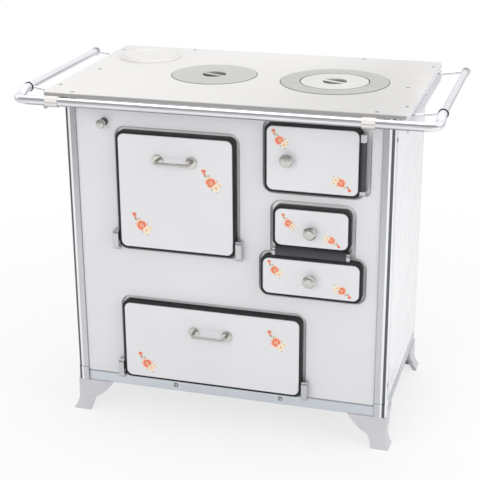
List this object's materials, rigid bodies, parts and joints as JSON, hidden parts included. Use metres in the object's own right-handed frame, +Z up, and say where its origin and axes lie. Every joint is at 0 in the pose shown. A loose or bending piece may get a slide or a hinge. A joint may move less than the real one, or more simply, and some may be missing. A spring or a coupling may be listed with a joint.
{
  "type": "cast iron range cooker",
  "caption": "Solid fuel range cooker with drop-down oven and storage doors, a firing door, an ash door and drawer, lift-out hob discs, a damper and a towel rail.",
  "frame": {"origin": "centre of the bounding box on the floor", "axes": "+Z up, -Y to the cooker's front, +X to the right seen from the front"},
  "size_m": [1.02, 0.589, 0.8583],
  "materials": {
    "panel_enamel": "white vitreous enamel, glossy",
    "plate_enamel": "warm white heat proof paint, satin",
    "hob_grey": "silver grey stove paint, matt",
    "door_enamel": "white vitreous enamel, glossy",
    "door_black": "black stove enamel, satin",
    "chrome": "polished chrome plate",
    "base_steel": "pale blue grey zinc plate",
    "foot_iron": "light grey stove paint",
    "inner_steel": "mill finish sheet steel",
    "oven_steel": "dark grey oven enamel",
    "raw_iron": "raw cast iron",
    "fireclay": "fired clay, matt",
    "rope": "braided glass fibre rope",
    "hinge_grey": "dark grey stove paint",
    "lug_steel": "zinc plated steel"
  },
  "bodies": {
    "cooker": {"base_frame": "base_steel", "bottom_plate": "inner_steel", "leg_front_right": "foot_iron", "leg_front_left": "foot_iron", "leg_rear_right": "foot_iron", "leg_rear_left": "foot_iron", "front_panel": "panel_enamel", "side_panel_left": "panel_enamel", "side_panel_right": "panel_enamel", "rear_panel": "inner_steel", "trim_front_left": "chrome", "trim_front_right": "chrome", "body_screws": "chrome", "top_plate": "plate_enamel", "plate_screws": "lug_steel", "flue_rim": "plate_enamel", "flue_spigot": "raw_iron", "flue_duct": "inner_steel", "front_rail": "chrome", "side_rail_left": "chrome", "side_rail_right": "chrome", "rail_elbow_left": "chrome", "rail_elbow_right": "chrome", "rail_clamps": "lug_steel", "rail_standoffs": "chrome", "oven_box": "oven_steel", "oven_rack": "chrome", "storage_box": "inner_steel", "firebox_shell": "inner_steel", "firebricks": "fireclay", "fire_grate": "raw_iron", "oven_hinge_lugs": "lug_steel", "store_hinge_lugs": "lug_steel", "ash_hinge_lugs": "lug_steel", "fire_hinge_lugs": "lug_steel", "damper_guide": "hinge_grey"},
    "oven_door": {"oven_door_body": "door_black", "oven_door_face": "door_enamel", "oven_door_handle": "chrome", "oven_door_seal": "rope"},
    "store_door": {"store_door_body": "door_black", "store_door_face": "door_enamel", "store_door_handle": "chrome"},
    "ash_door": {"ash_door_body": "door_black", "ash_door_face": "door_enamel", "ash_door_knob": "chrome"},
    "fire_door": {"fire_door_body": "door_black", "fire_door_face": "door_enamel", "fire_door_knob": "chrome", "fire_door_baffle": "raw_iron"},
    "ash_drawer": {"ash_drawer_front": "door_black", "ash_drawer_face": "door_enamel", "ash_drawer_knob": "chrome", "ash_pan": "inner_steel"},
    "damper": {"damper_rod": "raw_iron", "damper_knob": "chrome"},
    "left_disc": {"hob_left_disc": "hob_grey"},
    "right_ring": {"hob_right_ring": "hob_grey"},
    "right_disc": {"hob_right_disc": "hob_grey"},
    "flue_lid": {"flue_cover": "plate_enamel"}
  },
  "joints": [
    {"name": "oven_door_drop", "type": "hinge", "parent": "cooker", "child": "oven_door", "pos_m": [-0.1185, -0.2315, 0.4774], "axis": [1, 0, 0], "range_deg": [0, 90]},
    {"name": "store_door_drop", "type": "hinge", "parent": "cooker", "child": "store_door", "pos_m": [-0.03655, -0.2315, 0.1285], "axis": [1, 0, 0], "range_deg": [0, 90]},
    {"name": "ash_door_drop", "type": "hinge", "parent": "cooker", "child": "ash_door", "pos_m": [0.2125, -0.2335, 0.493], "axis": [1, 0, 0], "range_deg": [0, 90]},
    {"name": "fire_door_swing", "type": "hinge", "parent": "cooker", "child": "fire_door", "pos_m": [0.329, -0.2335, 0.721], "axis": [0, 0, 1], "range_deg": [0, 110]},
    {"name": "ash_drawer_slide", "type": "slide", "parent": "cooker", "child": "ash_drawer", "axis": [0, -1, 0], "range_m": [0, 0.3]},
    {"name": "damper_pull", "type": "slide", "parent": "cooker", "child": "damper", "axis": [0, -1, 0], "range_m": [0, 0.07]},
    {"name": "left_disc_lift", "type": "slide", "parent": "cooker", "child": "left_disc", "axis": [0, 0, 1], "range_m": [0, 0.15]},
    {"name": "right_ring_lift", "type": "slide", "parent": "cooker", "child": "right_ring", "axis": [0, 0, 1], "range_m": [0, 0.15]},
    {"name": "right_disc_lift", "type": "slide", "parent": "right_ring", "child": "right_disc", "axis": [0, 0, 1], "range_m": [0, 0.15]},
    {"name": "flue_lid_lift", "type": "slide", "parent": "cooker", "child": "flue_lid", "axis": [0, 0, 1], "range_m": [0, 0.15]}
  ]
}
